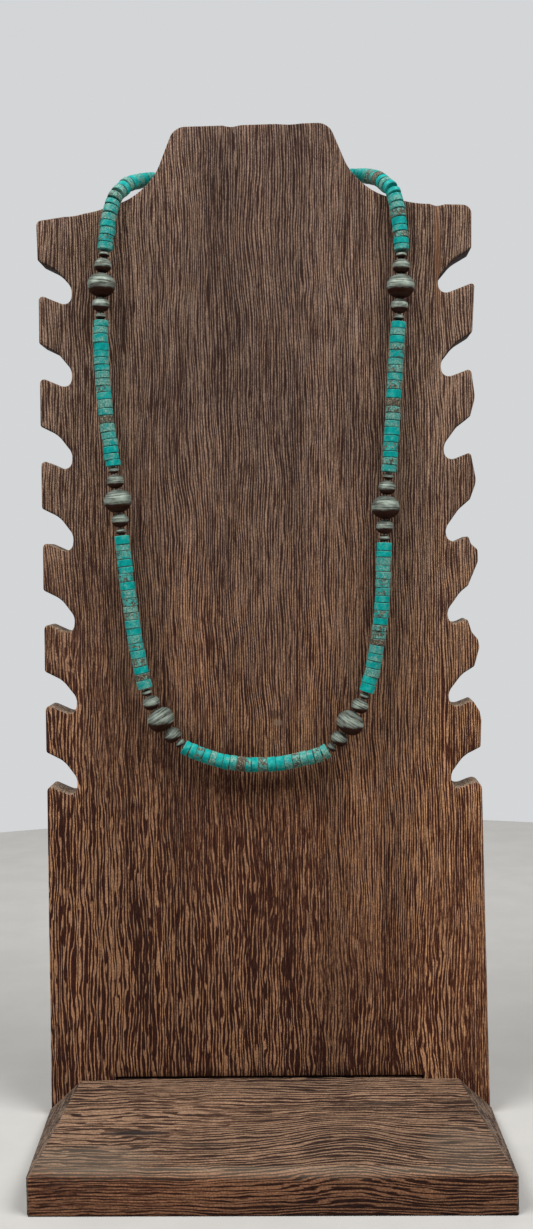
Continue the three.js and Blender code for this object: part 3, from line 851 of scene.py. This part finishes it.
def threaded(distance, tilt=0.0, shift=0.0):
    """The place of a piece threaded at a distance along the wire, Z along it, a little askew."""
    along = direction_at(distance)
    lie = along.to_track_quat("Z", "Y").to_matrix().to_4x4()
    around = Matrix.Rotation(rng.uniform(0, math.tau), 4, "Z")
    askew = Matrix.Rotation(math.radians(tilt), 4, "X")
    slip = Matrix.Translation((shift * MM, 0, 0))
    return Matrix.Translation(along_wire(distance)) @ lie @ around @ slip @ askew


def near_to(value, spread):
    return min(1, max(0, value + rng.uniform(-spread, spread)))


def add_disc(bm, stone, distance, thickness, radius):
    """One disc with its rims taken off, painted with its kind of stone."""
    present = set(bm.faces)
    tilt, shift = rng.uniform(-DISC_TILT, DISC_TILT), rng.uniform(0, DISC_OFF)
    made = bmesh.ops.create_cone(
        bm,
        cap_ends=True,
        segments=DISC_SIDES,
        radius1=radius * MM,
        radius2=radius * MM,
        depth=thickness * MM,
        matrix=threaded(distance, tilt, shift),
    )["verts"]
    rims = {e for v in made for e in v.link_edges if any(len(f.verts) > 4 for f in e.link_faces)}
    round_edges(bm, list(rims), rng.uniform(RIM_LEAST, RIM_MOST) * MM, segments=1)
    colours = bm.loops.layers.float_color["stone"]
    pale, brown = STONE[stone]
    paint = (near_to(pale, PALE_SPREAD), near_to(brown, BROWN_SPREAD), rng.random())
    for face in bm.faces:
        if face not in present:
            is_rim = len(face.verts) == 4 and face.calc_area() < RIM_FACE * thickness
            for corner in face.loops:
                corner[colours] = (*paint, 1.0 if is_rim else 0.0)


turquoise, tree, shader = new_finish("heishi_turquoise")
paint = add_node(tree, "Attribute", {"attribute_name": "stone"})
parts = add_node(tree, "SeparateColor", Color=paint.outputs["Color"])
pale, brown, seed = (parts.outputs[k] for k in range(3))
offset = add_node(
    tree, "VectorMath", {"operation": "SCALE"}, i0=OWN_PLACE, Scale=seed
).outputs[0]
place = vector_of(tree, "ADD", object_place(tree), offset)
mottle = stretched_noise(tree, place, MOTTLE_SIZE, detail=3.0, rough=0.6).outputs[0]
speck = stretched_noise(tree, place, SPECK_SIZE, rough=0.6).outputs[0]
vein = stretched_noise(tree, place, VEIN_SIZE, detail=4.0, rough=0.68).outputs[0]
bright_stone = blend_colours(
    tree, smooth_range(tree, mottle, *BRIGHT_EASE), rgba(BRIGHT_DEEP), rgba(BRIGHT_PALE)
)
dull_stone = blend_colours(
    tree, smooth_range(tree, speck, *DULL_EASE), rgba(DULL_DEEP), rgba(DULL_PALE)
)
matrix_stone = blend_colours(
    tree, smooth_range(tree, speck, *VEIN_EASE), rgba(VEIN_DEEP), rgba(VEIN_PALE)
)
mottled = math_of(tree, "ADD", pale, centred(tree, mottle, MOTTLE_REACH, MOTTLE_MIDDLE))
dulled = smooth_range(tree, mottled, *PALE_EASE)
vein_reach = math_of(tree, "ADD", math_of(tree, "MULTIPLY", brown, BROWN_REACH), vein)
veined = smooth_range(tree, vein_reach, *VEINED_EASE, 0.0, VEINED_SHARE)
rim = math_of(tree, "MULTIPLY", paint.outputs["Alpha"], RIM_SHARE)
tone = blend_colours(tree, dulled, bright_stone, dull_stone)
tone = blend_colours(tree, veined, tone, matrix_stone)
tone = blend_colours(tree, rim, tone, rgba(RIM_TONE))
tree.links.new(tone, shader.inputs["Base Color"])
height = math_of(tree, "ADD", speck, math_of(tree, "MULTIPLY", vein_reach, VEIN_SUNK))
relief = add_node(tree, "Bump", Height=height, **STONE_RELIEF).outputs[0]
tree.links.new(relief, shader.inputs["Normal"])
tree.links.new(shade_of(tree, speck, STONE_GLOSS), shader.inputs["Roughness"])
shader.inputs["Specular IOR Level"].default_value = STONE_SPECULAR

middle_runs = sum(length for length in RUN_LENGTHS if length)
groups = (len(RUN_LENGTHS) - 1) * GROUP_LENGTH
end_run = (WIRE_LENGTH / MM - 2 * CLASP_HALF - middle_runs - groups) / 2
group_starts = []
reached = CLASP_SLIP + CLASP_HALF
for number, (kinds, length) in enumerate(zip(STRINGING, RUN_LENGTHS), start=1):
    length = length or end_run
    bm = bmesh.new()
    bm.loops.layers.float_color.new("stone")
    shares = [rng.uniform(THINNEST, THICKEST) for _ in kinds]
    for kind, share in zip(kinds, shares):
        pitch = length * share / sum(shares)
        near, far = reached * MM, (reached + pitch) * MM
        opening = DISC_RADIUS * direction_at(near).angle(direction_at(far))
        thickness = pitch - max(LEAST_JOINT, opening)
        radius = DISC_RADIUS + rng.uniform(SMALLER, LARGER)
        add_disc(bm, kind, (near + far) / 2, thickness, radius)
        reached += pitch
    run = f"heishi_run_{number}"
    finish_piece(f"turquoise_run_{number}", bm, turquoise, "turquoise", run, sharp=30)
    group_starts.append(reached)
    reached += GROUP_LENGTH

# ---------------------------------------------------------------------------------------------
# Silver: six groups of five saucer beads, each of two domed stampings soldered round the middle,
# blackened, then brushed back on a lathe so that the dark stays at the holes and in the lines.
BORE, LIP = 0.55, 0.12
BEADS = {"small": (1.5, 1.8), "medium": (2.5, 4.0), "large": (4.0, 6.6)}
GROUP = ["small", "medium", "large", "medium", "small"]
BEAD_GAP, BEAD_TILT = 0.3, 1.2
FULLNESS, SEAM = 0.85, 0.035
PROFILE_STEPS, TURN_STEPS = 14, 32
LOT_SPREAD = 0.3
BRUSH_SIZE, BRUSH_SHARE = (0.009, 0.009, 0.00038), 0.72
PATCH_SIZE, PATCH_SHARE = (0.0022, 0.0022, 0.0013), 0.28
DARK_STOP, DARK_SILVER = 0.4, (0.05, 0.049, 0.04)
BRIGHT_STOP, BRIGHT_SILVER = 0.58, (0.265, 0.31, 0.266)
PATCHY = 0.3
# Painted light and shade by facing: shade on the top, light round the middle, and dark shade
# underneath.
PAINTED_TOP_SHADE_MIDDLE_LIGHT = {"ease": (0.95, 0.15), "shades": (0.62, 1.3)}
PAINTED_UNDERSIDE_SHADE, PAINTED_UNDERSIDE_SHADE_TONE = {"ease": (0.06, -0.26), "shades": (0.0, 0.97)}, (0.034, 0.01, 0.006)
BRUSH_RELIEF = {"Strength": 0.5, "Distance": 0.00012}
SILVER_GLOSS = {"ease": (0.4, 0.6), "shades": (0.72, 0.6)}
SILVER_METALLIC, SILVER_SPECULAR = 0.55, 0.05


def turned(bm, profile, place, steps=TURN_STEPS):
    """Turns a closed profile of (radius, height) in millimetres about Z and sets it in place.
    Its own coordinates before that stay on it for the brush marks."""
    own = bm.verts.layers.float_vector["turned"]
    present = set(bm.verts)
    ring = [bm.verts.new((radius * MM, 0, height * MM)) for radius, height in profile]
    edges = [bm.edges.new((a, b)) for a, b in zip(ring, ring[1:] + ring[:1])]
    bmesh.ops.spin(
        bm,
        geom=ring + edges,
        cent=(0, 0, 0),
        axis=(0, 0, 1),
        angle=math.tau,
        steps=steps,
        use_merge=True,
    )
    made = [v for v in bm.verts if v not in present]
    faces = list({f for v in made for f in v.link_faces})
    bmesh.ops.recalc_face_normals(bm, faces=faces)
    lot = Vector((0, 0, rng.uniform(0, LOT_SPREAD)))
    for vertex in made:
        vertex[own] = vertex.co + lot
    bmesh.ops.transform(bm, matrix=place, verts=made)


def bead_profile(radius, length):
    """Half a full oval, a lip at each hole and a soldered seam, closed along the bore."""
    steepest = math.acos(((BORE + LIP) / radius) ** (1 / FULLNESS))
    profile = [(BORE, -length / 2)]
    for k in range(PROFILE_STEPS + 1):
        angle = steepest * (2 * k / PROFILE_STEPS - 1)
        seam = SEAM if k == PROFILE_STEPS // 2 else 0.0
        height = length / 2 * math.sin(angle) / math.sin(steepest)
        profile.append((radius * math.cos(angle) ** FULLNESS - seam, height))
    profile.append((BORE, length / 2))
    return profile


silver, tree, shader = new_finish("brushed_oxidised_silver")
lathe_place = add_node(tree, "Attribute", {"attribute_name": "turned"}).outputs["Vector"]
brush = stretched_noise(tree, lathe_place, BRUSH_SIZE, detail=3.0, rough=0.65).outputs[0]
patch = stretched_noise(tree, lathe_place, PATCH_SIZE).outputs[0]
brushed = math_of(tree, "MULTIPLY", brush, BRUSH_SHARE)
lines = math_of(tree, "ADD", brushed, math_of(tree, "MULTIPLY", patch, PATCH_SHARE))
ramp = add_node(tree, "ValToRGB", Fac=lines)
dark, bright = ramp.color_ramp.elements
dark.position, dark.color = DARK_STOP, rgba(DARK_SILVER)
bright.position, bright.color = BRIGHT_STOP, rgba(BRIGHT_SILVER)
# Painted light keeps the middle brightest and painted shade makes the top duller, by which way
# each face looks.
# Underneath, a dark red-brown painted shade lies thick.
outwards = add_node(tree, "NewGeometry").outputs["Normal"]
upward = add_node(tree, "SeparateXYZ", Vector=outwards).outputs["Z"]
uneven = math_of(tree, "ADD", upward, math_of(tree, "MULTIPLY", patch, PATCHY))
painted_top_shade_middle_light = shade_of(tree, uneven, PAINTED_TOP_SHADE_MIDDLE_LIGHT)
tone = blend_colours(tree, 1.0, ramp.outputs[0], painted_top_shade_middle_light, "MULTIPLY")
# Painted shade: faces that look downwards turn dark red-brown.
tone = blend_colours(tree, shade_of(tree, uneven, PAINTED_UNDERSIDE_SHADE), tone, rgba(PAINTED_UNDERSIDE_SHADE_TONE))
tree.links.new(tone, shader.inputs["Base Color"])
relief = add_node(tree, "Bump", Height=lines, **BRUSH_RELIEF).outputs[0]
tree.links.new(relief, shader.inputs["Normal"])
tree.links.new(shade_of(tree, lines, SILVER_GLOSS), shader.inputs["Roughness"])
shader.inputs["Metallic"].default_value = SILVER_METALLIC
shader.inputs["Specular IOR Level"].default_value = SILVER_SPECULAR

for number, start in enumerate(group_starts[:-1], start=1):
    bm = bmesh.new()
    bm.verts.layers.float_vector.new("turned")
    reached = start + BEAD_GAP
    for size in GROUP:
        radius, length = BEADS[size]
        tilt = rng.uniform(-BEAD_TILT, BEAD_TILT)
        place = threaded((reached + length / 2) * MM, tilt)
        turned(bm, bead_profile(radius, length), place)
        reached += length + BEAD_GAP
    stands_for = [f"silver_{number}_{size}_{k}" for k, size in enumerate(GROUP, start=1)]
    finish_piece(f"silver_beads_{number}", bm, silver, "silver", *stands_for, sharp=50)

# ---------------------------------------------------------------------------------------------
# Clasp: a plain screw barrel of the same silver behind the neck, two turned halves that meet at
# a fine line, with the wire crimped into each end.
CLASP_RADIUS, CLASP_LENGTH, CLASP_STEPS = 2.4, 14.0, 40
# Shares of its radius and of half its length.
CLASP_PROFILE = [
    (0.3, -1.0), (0.42, -1.0), (0.5, -0.93), (0.72, -0.88), (0.9, -0.78), (1.0, -0.66),
    (1.0, -0.08), (0.97, -0.05), (0.9, 0.0), (0.97, 0.05), (1.0, 0.08), (1.0, 0.66),
    (0.9, 0.78), (0.72, 0.88), (0.5, 0.93), (0.42, 1.0), (0.3, 1.0),
]
bm = bmesh.new()
bm.verts.layers.float_vector.new("turned")
profile = [(r * CLASP_RADIUS, h * CLASP_LENGTH / 2) for r, h in CLASP_PROFILE]
turned(bm, profile, threaded(CLASP_SLIP * MM), CLASP_STEPS)
finish_piece("clasp", bm, silver, "silver", "barrel_clasp")
